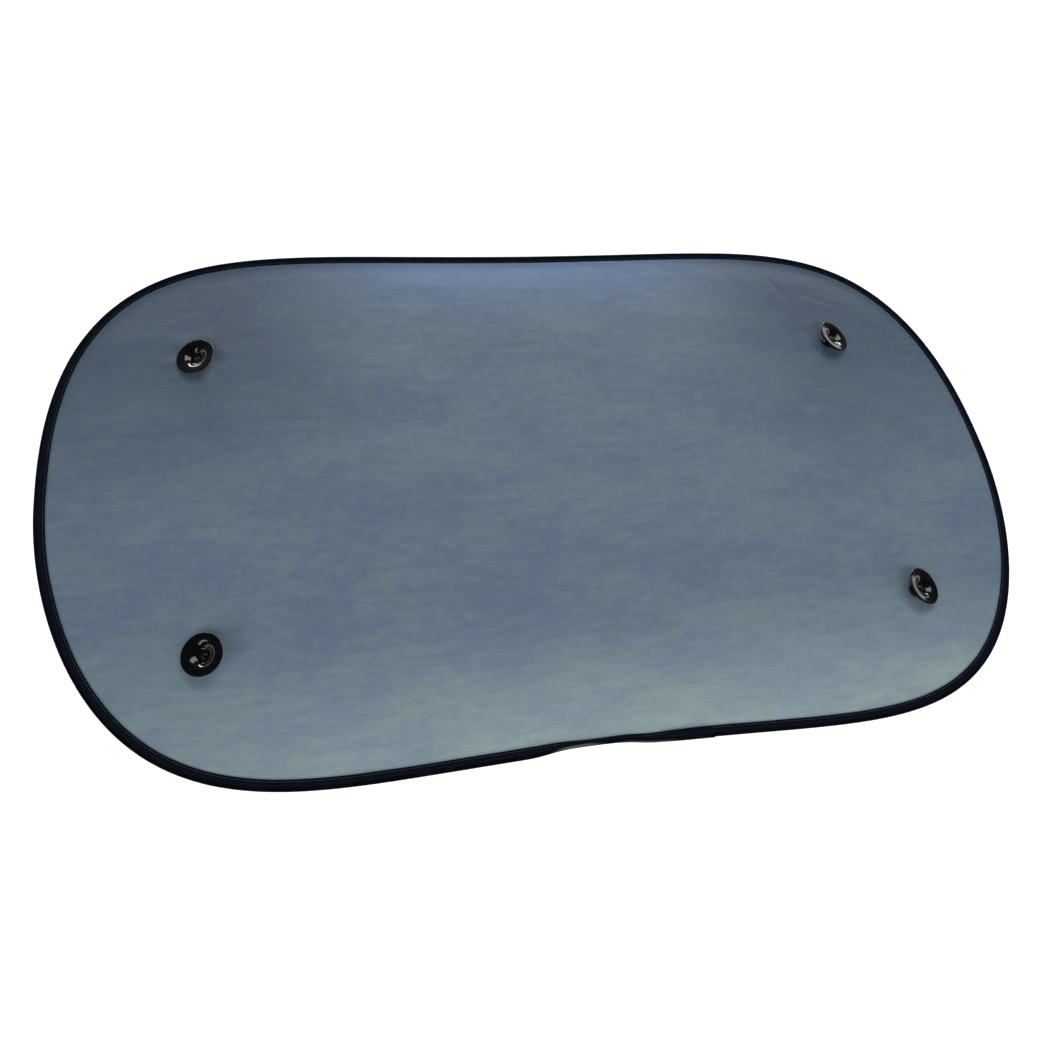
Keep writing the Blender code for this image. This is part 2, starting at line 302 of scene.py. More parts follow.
def add_node(tree, kind, settings=None, **links):
    """A node with its settings and inputs. An input is given by its name, or by its number as n0 or n1."""
    node = tree.nodes.new(kind)
    for key, value in (settings or {}).items():
        setattr(node, key, value)
    for key, value in links.items():
        numbered = key[0] == "n" and key[1:].isdigit()
        feed(tree, node.inputs[int(key[1:]) if numbered else key.replace("_", " ")], value)
    return node


def feed(tree, socket, value):
    """Links an input from another node's output, or sets it to a plain value."""
    if isinstance(value, bpy.types.NodeSocket):
        tree.links.new(value, socket)
    else:
        socket.default_value = value


def maths(tree, operation, first, second=0.0):
    return add_node(tree, "ShaderNodeMath", {"operation": operation}, n0=first, n1=second).outputs[0]


def spread(tree, value, low, high, to_low=0.0, to_high=1.0):
    """A value brought smoothly from one range to another, and held at its ends."""
    settings = {"interpolation_type": "SMOOTHSTEP"}
    links = {"Value": value, "From_Min": low, "From_Max": high, "To_Min": to_low, "To_Max": to_high}
    return add_node(tree, "ShaderNodeMapRange", settings, **links).outputs[0]


def blend_colours(tree, factor, first, second, kind="MIX"):
    node = add_node(tree, "ShaderNodeMix", {"data_type": "RGBA", "blend_type": kind})
    for number, value in ((0, factor), (6, first), (7, second)):
        feed(tree, node.inputs[number], value)
    return node.outputs[2]


def stretched_noise(tree, vector, scale, detail, stretch=(1, 1, 1), offset=(0, 0, 0)):
    moved = add_node(tree, "ShaderNodeMapping", Vector=vector, Scale=stretch, Location=offset)
    links = {"Vector": moved.outputs[0], "Scale": scale, "Detail": detail}
    return add_node(tree, "ShaderNodeTexNoise", **links).outputs[0]


def new_group(name, inputs, outputs):
    group = bpy.data.node_groups.new(name, "ShaderNodeTree")
    for label, kind, value in inputs:
        socket = group.interface.new_socket(label, in_out="INPUT", socket_type=kind)
        if value is not None:
            socket.default_value = value
    for label, kind in outputs:
        group.interface.new_socket(label, in_out="OUTPUT", socket_type=kind)
    return group, group.nodes.new("NodeGroupInput").outputs, group.nodes.new("NodeGroupOutput").inputs


def plain_weave_group():
    """The height of threads that pass over and under each other, on flat coordinates in metres."""
    group, given, out = new_group(
        "plain_weave",
        (("Flat", "NodeSocketVector", None), ("Pitch", "NodeSocketFloat", 0.001)),
        (("Height", "NodeSocketFloat"),),
    )
    apart = add_node(group, "ShaderNodeSeparateXYZ", Vector=given["Flat"]).outputs
    turn = maths(group, "DIVIDE", math.pi, given["Pitch"])
    across = maths(group, "SINE", maths(group, "MULTIPLY", apart[0], turn))
    along = maths(group, "SINE", maths(group, "MULTIPLY", apart[1], turn))
    threads = maths(group, "MAXIMUM", maths(group, "ABSOLUTE", across), maths(group, "ABSOLUTE", along))
    over = maths(group, "MULTIPLY", across, along)
    height = maths(group, "ADD", threads, maths(group, "MULTIPLY", over, 0.3))
    group.links.new(height, out["Height"])
    return group


def streaks_group():
    """Patches, long soft streaks and fine slubs lying along the cloth, as values round a half."""
    group, given, out = new_group(
        "cloth_streaks",
        (("Flat", "NodeSocketVector", None),),
        (
            ("Broad", "NodeSocketFloat"),
            ("Patches", "NodeSocketFloat"),
            ("Streaks", "NodeSocketFloat"),
            ("Slubs", "NodeSocketFloat"),
        ),
    )
    flat = given["Flat"]
    group.links.new(stretched_noise(group, flat, 7.0, 3.0, (1, 2.2, 1)), out["Broad"])
    group.links.new(stretched_noise(group, flat, 55.0, 4.0, (1, 1.9, 1), (3, 1, 0)), out["Patches"])
    group.links.new(stretched_noise(group, flat, 30.0, 5.0, (0.7, 4.5, 1), (5, 2, 0)), out["Streaks"])
    weft = stretched_noise(group, flat, 330.0, 2.0, (0.35, 2.4, 1), (1, 5, 0))
    warp = stretched_noise(group, flat, 330.0, 2.0, (2.4, 0.5, 1), (7, 2, 0))
    slubs = maths(group, "ADD", maths(group, "MULTIPLY", weft, 0.65), maths(group, "MULTIPLY", warp, 0.35))
    group.links.new(slubs, out["Slubs"])
    return group


def specks_group():
    """Dust and handling marks on moulded parts: a mask of specks and a soft unevenness."""
    group, given, out = new_group(
        "specks",
        (("Place", "NodeSocketVector", None), ("Amount", "NodeSocketFloat", 0.5)),
        (("Specks", "NodeSocketFloat"), ("Uneven", "NodeSocketFloat")),
    )
    fine = stretched_noise(group, given["Place"], 900.0, 2.0)
    patch = stretched_noise(group, given["Place"], 120.0, 3.0)
    dots = maths(group, "MULTIPLY", spread(group, fine, 0.66, 0.74), spread(group, patch, 0.45, 0.7))
    group.links.new(maths(group, "MULTIPLY", dots, given["Amount"]), out["Specks"])
    group.links.new(patch, out["Uneven"])
    return group


WEAVE = plain_weave_group()
STREAKS = streaks_group()
SPECKS = specks_group()


def new_material(name, roughness, colour=(0.5, 0.5, 0.5)):
    material = bpy.data.materials.new(name)
    material.use_nodes = True
    tree = material.node_tree
    shader = tree.nodes["Principled BSDF"]
    shader.inputs["Roughness"].default_value = roughness
    shader.inputs["Base Color"].default_value = (*colour, 1)
    material.diffuse_color = (*colour, 1)
    return material, tree, shader


def use_group(tree, group, **links):
    node = add_node(tree, "ShaderNodeGroup", {"node_tree": group})
    for key, value in links.items():
        feed(tree, node.inputs[key], value)
    return node.outputs


def object_place(tree):
    return tree.nodes.new("ShaderNodeTexCoord").outputs["Object"]


def bump(tree, shader, height, strength, distance):
    node = add_node(tree, "ShaderNodeBump", Height=height, Strength=strength, Distance=distance)
    tree.links.new(node.outputs[0], shader.inputs["Normal"])


def cloth_material():
    """Fine polyester mesh: grey-blue, patchy and streaked, with painted shade in its upper corners, a
    painted bluish reflection along the top middle and a painted sheen paler towards the bottom.
    """
    material, tree, shader = new_material("shade_mesh_cloth", 0.62)
    flat = add_node(tree, "ShaderNodeUVMap", {"uv_map": "flat"}).outputs[0]
    streaks = use_group(tree, STREAKS, Flat=flat)
    weave = use_group(tree, WEAVE, Flat=flat, Pitch=THREAD_PITCH)
    broad, patches = (maths(tree, "MULTIPLY", streaks[name], 0.5) for name in ("Broad", "Patches"))
    hue = spread(tree, maths(tree, "ADD", broad, patches), 0.42, 0.58)
    colour = blend_colours(tree, hue, (0.085, 0.119, 0.176, 1), (0.092, 0.131, 0.161, 1))
    # Painted sheen: paler copies of the cloth's two tones, for light on its lower part.
    pale = blend_colours(tree, hue, (0.180, 0.234, 0.268, 1), (0.190, 0.248, 0.252, 1))
    x, y, _ = add_node(tree, "ShaderNodeSeparateXYZ", Vector=flat).outputs
    sideways = maths(tree, "ABSOLUTE", x)
    # Painted reflection: a bluish sky reflection along the top middle of the cloth.
    painted_reflection_above = maths(tree, "MULTIPLY", spread(tree, y, 0.17, 0.31), spread(tree, sideways, 0.36, 0.05))
    colour = blend_colours(tree, painted_reflection_above, colour, (0.122, 0.182, 0.315, 1))
    # Painted shade: the upper corners darkened where less light falls.
    corner = maths(tree, "MULTIPLY", spread(tree, y, -0.06, 0.19), spread(tree, sideways, 0.12, 0.34))
    corner = maths(tree, "MULTIPLY", corner, 0.80)
    colour = blend_colours(tree, corner, colour, (0.042, 0.066, 0.100, 1))
    # Painted sheen: the paler copy laid on towards the bottom edge, weaker towards the left end.
    painted_sheen_below = maths(tree, "MULTIPLY", spread(tree, y, -0.13, -0.31), spread(tree, x, -0.45, -0.05, 0.6, 1.0))
    colour = blend_colours(tree, painted_sheen_below, colour, pale)
    tone = spread(tree, streaks["Streaks"], 0.30, 0.72, 0.95, 1.045)
    for name, low, high, dark, light in (
        ("Broad", 0.34, 0.66, 0.96, 1.04),
        ("Patches", 0.34, 0.66, 0.98, 1.02),
        ("Slubs", 0.34, 0.60, 0.93, 1.03),
    ):
        tone = maths(tree, "MULTIPLY", tone, spread(tree, streaks[name], low, high, dark, light))
    colour = blend_colours(tree, 1.0, colour, tone, "MULTIPLY")
    tree.links.new(colour, shader.inputs["Base Color"])
    rough = spread(tree, streaks["Slubs"], 0.3, 0.7, 0.70, 0.55)
    tree.links.new(rough, shader.inputs["Roughness"])
    shader.inputs["Specular IOR Level"].default_value = 0.25
    height = maths(tree, "ADD", maths(tree, "MULTIPLY", weave["Height"], 0.25), streaks["Slubs"])
    bump(tree, shader, height, 0.35, 0.0004)
    return material


def tape_material():
    """Woven binding tape: close ribs, near-black, a painted sheen that makes its flat flap bluer, and
    painted light in grey slivers where its twisted end catches it.
    """
    material, tree, shader = new_material("binding_tape_weave", 0.6, (0.012, 0.014, 0.020))
    flat = add_node(tree, "ShaderNodeUVMap", {"uv_map": "tape"}).outputs[0]
    along, across, _ = add_node(tree, "ShaderNodeSeparateXYZ", Vector=flat).outputs
    ribs = maths(tree, "SINE", maths(tree, "MULTIPLY", along, 2 * math.pi / RIB_PITCH))
    strands = maths(tree, "SINE", maths(tree, "MULTIPLY", across, 2 * math.pi / STRAND_PITCH))
    patch = stretched_noise(tree, flat, 60.0, 3.0, (1, 2, 1))
    fibre = stretched_noise(tree, flat, 1400.0, 2.0, (1, 0.3, 1))
    # Painted sheen: the flat flap gets a bluer copy of the near-black tape colour, for the light it catches.
    roll, flap = (0.0006, 0.0010, 0.0018, 1), (0.0022, 0.0036, 0.0080, 1)
    flank = maths(tree, "ABSOLUTE", across)
    colour = blend_colours(tree, spread(tree, flank, 0.0035, 0.0070), roll, flap)
    colour = blend_colours(tree, spread(tree, patch, 0.4, 0.75, 0.0, 0.4), colour, (0.004, 0.005, 0.009, 1))
    # Painted light: grey slivers where the twisted end of the tape catches the light.
    turned = add_node(tree, "ShaderNodeAttribute", {"attribute_name": "turned"}).outputs["Fac"]
    colour = blend_colours(tree, turned, colour, (0.050, 0.056, 0.050, 1))
    tree.links.new(colour, shader.inputs["Base Color"])
    tree.links.new(spread(tree, fibre, 0.3, 0.7, 0.62, 0.85), shader.inputs["Roughness"])
    shader.inputs["Specular IOR Level"].default_value = 0.02
    weave = maths(tree, "ADD", ribs, maths(tree, "MULTIPLY", strands, 0.4))
    height = maths(tree, "ADD", weave, maths(tree, "MULTIPLY", fibre, 0.8))
    bump(tree, shader, height, 0.5, 0.00012)
    return material


def thread_material():
    """Spun black thread, with fine paler fibres."""
    material, tree, shader = new_material("sewing_thread", 0.5, (0.016, 0.017, 0.022))
    place = object_place(tree)
    fibre = stretched_noise(tree, place, 2600.0, 2.0)
    dark, pale = (0.010, 0.011, 0.015, 1), (0.034, 0.036, 0.045, 1)
    colour = blend_colours(tree, spread(tree, fibre, 0.35, 0.65), dark, pale)
    tree.links.new(colour, shader.inputs["Base Color"])
    bump(tree, shader, fibre, 0.4, 0.00005)
    return material


def rubber_material():
    """Soft black plastic, glossy in the bowl and matt outside, slightly uneven and with a little dust."""
    material, tree, shader = new_material("glossy_black_pvc", 0.5, (0.004, 0.004, 0.005))
    place = object_place(tree)
    marks = use_group(tree, SPECKS, Place=place, Amount=0.35)
    colour = blend_colours(tree, marks["Specks"], (0.0012, 0.0013, 0.0016, 1), (0.03, 0.03, 0.031, 1))
    tree.links.new(colour, shader.inputs["Base Color"])
    tree.links.new(spread(tree, marks["Uneven"], 0.3, 0.7, 0.42, 0.55), shader.inputs["Roughness"])
    shader.inputs["Specular IOR Level"].default_value = 0.03
    outside = add_node(tree, "ShaderNodeAttribute", {"attribute_name": "outside"}).outputs["Fac"]
    tree.links.new(maths(tree, "SUBTRACT", 1.0, outside), shader.inputs["Coat Weight"])
    shader.inputs["Coat Roughness"].default_value = 0.08
    bump(tree, shader, stretched_noise(tree, place, 260.0, 2.0), 0.02, 0.0003)
    return material


def eyelet_material():
    """Black-lacquered brass, with small specks where the brass shows."""
    material, tree, shader = new_material("lacquered_eyelet", 0.3, (0.02, 0.02, 0.022))
    place = object_place(tree)
    marks = use_group(tree, SPECKS, Place=place, Amount=0.6)
    colour = blend_colours(tree, marks["Specks"], (0.010, 0.010, 0.012, 1), (0.10, 0.085, 0.06, 1))
    tree.links.new(colour, shader.inputs["Base Color"])
    tree.links.new(spread(tree, marks["Uneven"], 0.3, 0.7, 0.22, 0.42), shader.inputs["Roughness"])
    bump(tree, shader, marks["Uneven"], 0.1, 0.0002)
    return material


def steel_material():
    """Drawn spring steel with a thin, oily unevenness."""
    material, tree, shader = new_material("drawn_spring_steel", 0.3, (0.5, 0.5, 0.52))
    place = object_place(tree)
    uneven = stretched_noise(tree, place, 300.0, 3.0)
    dull, bright = (0.42, 0.42, 0.44, 1), (0.58, 0.58, 0.60, 1)
    colour = blend_colours(tree, spread(tree, uneven, 0.3, 0.7), dull, bright)
    tree.links.new(colour, shader.inputs["Base Color"])
    tree.links.new(spread(tree, uneven, 0.3, 0.7, 0.24, 0.40), shader.inputs["Roughness"])
    shader.inputs["Metallic"].default_value = 1.0
    bump(tree, shader, uneven, 0.1, 0.0001)
    return material


# Cloth


def cup_holes():
    """Flat-pattern places of the four cups, from their swivel axes."""
    places = []
    for corner in CORNERS:
        x, y, _ = SWIVELS["cup_" + corner]["pos_m"]
        places.append(np.array([x, y]) - PATTERN_SHIFT)
    return places


# Soft creases in the cloth: one end, other end, half width and height
CREASES = (
    ((-0.392, 0.209), (-0.336, 0.226), 0.0024, -0.0009),
    ((-0.372, 0.188), (-0.318, 0.205), 0.0030, -0.0005),
    ((0.296, 0.262), (0.322, 0.203), 0.0032, -0.0008),
    ((0.336, 0.227), (0.384, 0.204), 0.0024, -0.0009),
    ((0.118, -0.274), (0.124, -0.226), 0.0022, 0.0005),
    ((0.100, -0.272), (0.107, -0.230), 0.0022, 0.0004),
    ((0.025, -0.264), (0.042, -0.213), 0.0030, 0.0004),
    ((0.060, -0.260), (0.068, -0.222), 0.0026, 0.0004),
)


def ripple(flat, holes):
    """How far the cloth stands off its smooth form: soft waves, puckers and swells by the cups, creases."""
    waves = np.empty(len(flat))
    for k, (x, y) in enumerate(flat):
        broad = noise.noise(Vector((x * 4.5, y * 15 + x * 1.5, 1.3)))
        fine = noise.noise(Vector((x * 14, y * 48 - x * 4, 7.1)))
        waves[k] = BROAD_RIPPLE * broad + FINE_RIPPLE * fine
    for hole in holes:
        away = flat - hole
        reach = np.hypot(*away.T)
        turn = np.arctan2(away[:, 1], away[:, 0])
        pull = np.exp(-(((reach - PUCKER_RADIUS) / PUCKER_WIDTH) ** 2))
        waves += PUCKER_HEIGHT * pull * np.cos(PUCKER_FOLDS * turn + 9 * hole[0])
        waves += SWELL_HEIGHT * np.exp(-(((reach - SWELL_RADIUS) / SWELL_WIDTH) ** 2))
    for start, end, width, height in CREASES:
        start, end = np.array(start), np.array(end)
        line = end - start
        share = np.clip((flat - start) @ line / (line @ line), 0, 1)
        off = np.hypot(*(flat - start - share[:, None] * line).T)
        waves += height * np.exp(-((off / width) ** 2)) * np.sin(math.pi * np.clip(share, 0.02, 0.98))
    return waves


def grid_inside(ring, holes):
    """A square grid of flat-pattern points inside the innermost edge ring and clear of the holes."""
    across = np.arange(-PANEL_LENGTH / 2, PANEL_LENGTH / 2, CLOTH_STEP)
    upward = np.arange(-PANEL_HEIGHT / 2, PANEL_HEIGHT / 2, CLOTH_STEP)
    grid = np.stack(np.meshgrid(across, upward), axis=-1).reshape(-1, 2)
    side = np.arccos(np.clip(2 * grid[:, 0] / PANEL_LENGTH, -1, 1))
    reach = outline_at(np.copysign(side, grid[:, 1]))[:, 1]
    grid = grid[np.abs(grid[:, 1]) < np.abs(reach)]
    grid = grid[nearest_distance(grid, ring) > GRID_ROOM]
    bearing = np.arctan2(*ring.T)
    order = np.argsort(bearing)
    inner = np.hypot(*ring.T)[order]
    limit = np.interp(np.arctan2(*grid.T), bearing[order], inner, period=2 * math.pi)
    grid = grid[np.hypot(*grid.T) < limit]
    return grid[nearest_distance(grid, np.array(holes)) > HOLE_RINGS[-1] + GRID_ROOM]


def nearest_distance(spots, others):
    """How far each flat-pattern point is from the nearest of some others, in parts to save memory."""
    nearest = np.full(len(spots), np.inf)
    for part in np.array_split(others, DISTANCE_PARTS):
        if len(part):
            away = np.hypot(spots[:, None, 0] - part[None, :, 0], spots[:, None, 1] - part[None, :, 1])
            nearest = np.minimum(nearest, away.min(axis=1))
    return nearest


def make_cloth(holes):
    """The mesh sheet, on a square grid of points that meets rings round its edge and its four holes."""
    points, inward, _ = walk_round(EDGE_STATIONS)
    rings = [points + inward * inset for inset in EDGE_RINGS]
    flat = [Vector(p) for ring in rings for p in ring]
    edges = []
    for first in range(0, len(flat), EDGE_STATIONS):
        edges += [(first + k, first + (k + 1) % EDGE_STATIONS) for k in range(EDGE_STATIONS)]
    for hole in holes:
        for number, radius in enumerate(HOLE_RINGS):
            first, count = len(flat), HOLE_STATIONS + HOLE_STATIONS_MORE * number
            for step in range(count):
                turn = 2 * math.pi * step / count
                flat.append(Vector(hole + radius * np.array([math.cos(turn), math.sin(turn)])))
                edges.append((first + step, first + (step + 1) % count))
    flat += [Vector(p) for p in grid_inside(rings[-1], holes)]
    spots, _, triangles, *_ = delaunay_2d_cdt(flat, edges, [], 1, 1e-6)
    spots = np.array([tuple(p) for p in spots])
    middles = spots[np.array(triangles)].mean(axis=1)
    kept = nearest_distance(middles, np.array(holes)) > HOLE_RINGS[0]
    faces = [tuple(triangle) for triangle, keep in zip(triangles, kept) if keep]
    from_edge = (nearest_distance(spots, walk_round(RIM_STATIONS)[0]) - CALM_EDGE) / EDGE_FADE
    from_hole = (nearest_distance(spots, np.array(holes)) - CALM_HOLE) / HOLE_FADE
    calm = np.clip(from_edge, 0, 1) * np.clip(from_hole, 0, 1)
    lift = ripple(spots, holes) * calm * calm * (3 - 2 * calm)
    cloth = from_arrays("shade_cloth", on_sheet(spots, lift), faces)
    give_map(cloth, "flat", spots)
    thicken = cloth.modifiers.new("Thickness", "SOLIDIFY")
    thicken.thickness = CLOTH_THICKNESS
    thicken.offset = 0
    apply_all(cloth)
    return cloth


# Binding


def smooth_step(value):
    share = min(max(value, 0), 1)
    return share * share * (3 - 2 * share)


def tape_width(place, walk, length):
    """How far the tape reaches in: less along the top and the right, and least where its end is pinched."""
    x, y = place
    right = smooth_step((x + 0.35) / 0.7) * smooth_step((y + 0.22) / 0.12)
    top = smooth_step((y - 0.05) / 0.2)
    width = TAPE_WIDTH - TAPE_NARROWING * max(right, top)
    width += noise.noise(Vector((walk * 22, 3.1, 0))) * TAPE_WANDER
    if walk > length * FAR_END and y < 0:
        pinch = smooth_step((x - PINCH_BEGINS) / PINCH_GROWS_OVER)
        pinch *= 1 - PINCH_EASED * smooth_step((x - PINCH_EASES) / PINCH_EASES_OVER)
        width += (PINCHED_WIDTH - width) * pinch
    return width


def fold_line(radius, half_gap, width, dip):
    """One face of the folded tape in its cross-section, as (inset, lift) from flap to flap."""
    seam = min(TAPE_SEAM, width - SEAM_ROOM)
    leave = math.atan2(half_gap, seam - WIRE_INSET)
    leave += math.acos(radius / math.hypot(half_gap, seam - WIRE_INSET))
    insets = np.linspace(width, seam, FLAP_STEPS + 1)
    row = width - STITCH_MARGIN
    sunk = dip * np.exp(-(((insets - row) / STITCH_DIP_WIDTH) ** 2))
    curl = FLAP_CURL * np.clip((insets - row) / STITCH_MARGIN, 0, 1) ** 2
    lifts = half_gap - sunk + curl
    turns = np.linspace(leave, 2 * math.pi - leave, FOLD_STEPS + 1)
    roll = [(WIRE_INSET + radius * math.cos(t), radius * math.sin(t)) for t in turns]
    upper = list(zip(insets, lifts))
    return np.array(upper + roll + [(i, -h) for i, h in reversed(upper)])


def tape_section(place, walk, length, layer):
    """The tape's two faces where it crosses the rim: the inner and outer (inset, lift)."""
    width = tape_width(place, walk, length)
    spread_out = layer * (TAPE_THICKNESS + LAYER_GAP)
    fuller = noise.noise(Vector((walk * 14, 8.7, layer))) * FOLD_WANDER
    radius, gap = FOLD_RADIUS + spread_out + fuller, TAPE_GAP + spread_out
    inner = fold_line(radius, gap, width, 0.0)
    outer = fold_line(radius + TAPE_THICKNESS, gap + TAPE_THICKNESS, width, STITCH_DIP)
    return inner, outer


def make_binding(length):
    """One length of tape folded over the rim, its far end climbing over its start."""
    points, inward, _ = walk_round(TAPE_STATIONS)
    step = length / TAPE_STATIONS
    climb = round(TAPE_OVERLAP / step)
    count = TAPE_STATIONS + climb
    places, flats, painted_light_shares = [], [], []
    for number in range(count + 1):
        walk = number * step
        station = number % TAPE_STATIONS
        layer = smooth_step((number - (TAPE_STATIONS - climb)) / climb)
        inner, outer = tape_section(points[station], walk, length, layer)
        loop = np.concatenate([inner, outer[::-1]])
        flat = points[station] + inward[station] * loop[:, :1]
        places.append(on_sheet(flat, loop[:, 1]))
        across = np.concatenate([[0], np.cumsum(np.hypot(*np.diff(outer, axis=0).T))])
        across -= across[-1] / 2
        flats.append(np.column_stack([np.full(len(loop), walk), np.concatenate([across, across[::-1]])]))
        painted_light_shares.append(painted_light_share_at(points[station][0], loop, number))
    size = len(places[0])
    faces = []
    for number in range(count):
        near, far = number * size, (number + 1) * size
        for k in range(size):
            after = (k + 1) % size
            faces.append((near + k, far + k, far + after, near + after))
    half = size // 2
    last = count * size
    for k in range(half - 1):
        faces.append((k, k + 1, size - 2 - k, size - 1 - k))
        faces.append((last + k, last + size - 1 - k, last + size - 2 - k, last + k + 1))
    binding = from_arrays("binding_tape", np.concatenate(places), faces)
    give_map(binding, "tape", np.concatenate(flats))
    # The turned attribute carries the painted light on the twisted end of the tape.
    mark_points(binding, "turned", np.concatenate(painted_light_shares))
    pick(binding)
    bpy.ops.object.shade_smooth_by_angle(angle=math.radians(40))
    return binding


def painted_light_share_at(x, loop, number):
    """How much painted light the twisted end of the tape shows, in grey: two slivers along the lower rim."""
    if number < TAPE_STATIONS * FAR_END:
        return np.zeros(len(loop))
    first, second = (share * math.exp(-(((x - middle) / half) ** 4)) for middle, half, share in SLIVERS)
    reach = SLIVER_REACH + SLIVER_REACH * first
    near_rim = np.clip((reach - loop[:, 0]) / SLIVER_EDGE, 0, 1)
    not_below = np.clip((loop[:, 1] - SLIVER_LOW) / SLIVER_LOW_FADE, 0, 1)
    return max(first, second) * near_rim * not_below


def make_stitches(length):
    """A row of lock stitches along the flap, on both faces of the tape."""
    points, inward, _ = walk_round(SEAM_STATIONS)
    step = length / len(points)
    places, faces = [], []
    for start in np.arange(STITCH_PITCH, length - STITCH_PITCH, STITCH_PITCH):
        width = tape_width(points[round(start / step)], start, length)
        if width < STITCH_ROOM:
            continue
        for side in (1, -1):
            row = width - STITCH_MARGIN
            row += noise.noise(Vector((start * 30, 1.7 * side, 4))) * STITCH_WANDER
            add_stitch(start, side, row, points, inward, step, places, faces)
    return from_arrays("binding_stitches", np.concatenate(places), faces)


def add_stitch(start, side, row, points, inward, step, places, faces):
    """One stitch: a short thread that rises from the tape, runs along it and dives back."""
    face = TAPE_GAP + TAPE_THICKNESS
    first = sum(len(p) for p in places)
    turns = np.linspace(0, 2 * math.pi, THREAD_SIDES, endpoint=False)
    for share, rise in STITCH_RISES:
        number = round((start + share * STITCH_LENGTH) / step) % len(points)
        inset = row + THREAD_RADIUS * np.cos(turns)
        lift = side * (face + rise + THREAD_RADIUS * np.sin(turns))
        flat = points[number] + inward[number] * inset[:, None]
        places.append(on_sheet(flat, lift))
    last = (len(STITCH_RISES) - 1) * THREAD_SIDES
    loops = []
    for near in range(0, last, THREAD_SIDES):
        far = near + THREAD_SIDES
        for k in range(THREAD_SIDES):
            after = (k + 1) % THREAD_SIDES
            loops.append((near + k, near + after, far + after, far + k))
    loops.append(range(THREAD_SIDES)[::-1])
    loops.append(range(last, last + THREAD_SIDES))
    for face_loop in loops:
        found = [first + k for k in face_loop]
        faces.append(tuple(found if side > 0 else reversed(found)))


# Turned pieces


def turned(name, corners, steps, closed=False):
    """A body spun from corners given as (radius, height, rounding), which are rounded before the spin."""
    select_none()
    bpy.ops.mesh.primitive_plane_add(size=0.001)
    made = bpy.context.object
    made.name = made.data.name = name
    bpy.ops.object.mode_set(mode="EDIT")
    bpy.ops.mesh.select_all(action="SELECT")
    bpy.ops.mesh.merge(type="CENTER")
    radius, height, _ = corners[0]
    bpy.ops.transform.translate(value=(radius, 0, height))
    for (r0, h0, _), (r1, h1, _) in zip(corners, corners[1:]):
        bpy.ops.mesh.extrude_vertices_move(TRANSFORM_OT_translate={"value": (r1 - r0, 0, h1 - h0)})
    if closed:
        bpy.ops.mesh.select_all(action="SELECT")
        bpy.ops.object.mode_set(mode="OBJECT")
        made.data.edges.add(1)
        made.data.edges[-1].vertices = (0, len(corners) - 1)
        bpy.ops.object.mode_set(mode="EDIT")
    for radius, height, rounding in corners:
        if rounding:
            select_vertex_at(made, radius, height)
            bpy.ops.mesh.bevel(offset=rounding, offset_type="OFFSET", segments=5, affect="VERTICES")
    bpy.ops.mesh.select_all(action="SELECT")
    bpy.ops.mesh.spin(steps=steps, angle=2 * math.pi, center=(0, 0, 0), axis=(0, 0, 1))
    bpy.ops.mesh.select_all(action="SELECT")
    bpy.ops.mesh.remove_doubles(threshold=1e-6)
    bpy.ops.mesh.normals_make_consistent(inside=False)
    bpy.ops.object.mode_set(mode="OBJECT")
    bpy.ops.object.shade_smooth_by_angle(angle=math.radians(35))
    return made


def select_vertex_at(made, radius, height):
    """Selects the one vertex of a profile that lies nearest to this place."""
    bpy.ops.mesh.select_all(action="DESELECT")
    bpy.ops.object.mode_set(mode="OBJECT")
    spot = Vector((radius, 0, height))
    nearest = min(made.data.vertices, key=lambda vertex: (vertex.co - spot).length)
    nearest.select = True
    bpy.ops.object.mode_set(mode="EDIT")


def cup_corners():
    """A cup's section from the middle of its bowl, round its lip, to the tip of its head."""
    mouth = RIM_RADIUS - LIP_WIDTH
    top = bowl_height(BOSS_RADIUS) + BOSS_HEIGHT
    corners = [
        (0, top - BOSS_DIMPLE, 0),
        (BOSS_RADIUS * 0.45, top - BOSS_DIMPLE, 0.0004),
        (BOSS_RADIUS * 0.60, top, 0.0003),
        (BOSS_RADIUS * 0.85, top, 0.0003),
        (BOSS_RADIUS * 1.10, bowl_height(BOSS_RADIUS * 1.10), 0.0003),
    ]
    first = BOSS_RADIUS * 1.4
    for step in range(BOWL_STEPS + 1):
        radius = first + (mouth - first) * step / BOWL_STEPS
        corners.append((radius, bowl_height(radius), 0))
    corners += [
        (RIM_RADIUS - LIP_ROUNDING, RIM_HEIGHT, LIP_ROUNDING),
        (RIM_RADIUS, RIM_HEIGHT - LIP_EDGE, LIP_ROUNDING),
        (SHOULDER_RADIUS, SHOULDER_HEIGHT, 0.0025),
        (ROOT_RADIUS, ROOT_HEIGHT, 0.0008),
        (NECK_RADIUS, ROOT_HEIGHT - 0.0010, 0.0006),
        (NECK_RADIUS, -HEAD_FRONT, 0.0004),
        (HEAD_RADIUS, -HEAD_FRONT, 0.0004),
        (HEAD_RADIUS, -HEAD_FRONT - HEAD_DEPTH / 3, 0.0008),
        (HEAD_RADIUS / 2, -HEAD_FRONT - HEAD_DEPTH, 0.0012),
        (0, -HEAD_FRONT - HEAD_DEPTH, 0),
    ]
    return corners


def bowl_rise(radius):
    """The bowl's rise from its middle: a flat floor, a sloping ring and a wide, nearly flat flange."""
    near = radius + BOWL_ROUNDING * np.linspace(-1, 1, 21)
    radii, rises = zip(*BOWL_FORM)
    return float(np.interp(near, radii, rises).mean())


def bowl_height(radius):
    return RIM_HEIGHT - bowl_rise(RIM_RADIUS - LIP_WIDTH) + bowl_rise(radius)


def mark_outside(cup):
    """Marks a cup's outer face, which is less glossy than its bowl."""
    spots = [vertex.co for vertex in cup.data.vertices]
    outside = [spot.z < bowl_height(math.hypot(spot.x, spot.y)) - WALL_SKIN for spot in spots]
    mark_points(cup, "outside", outside)


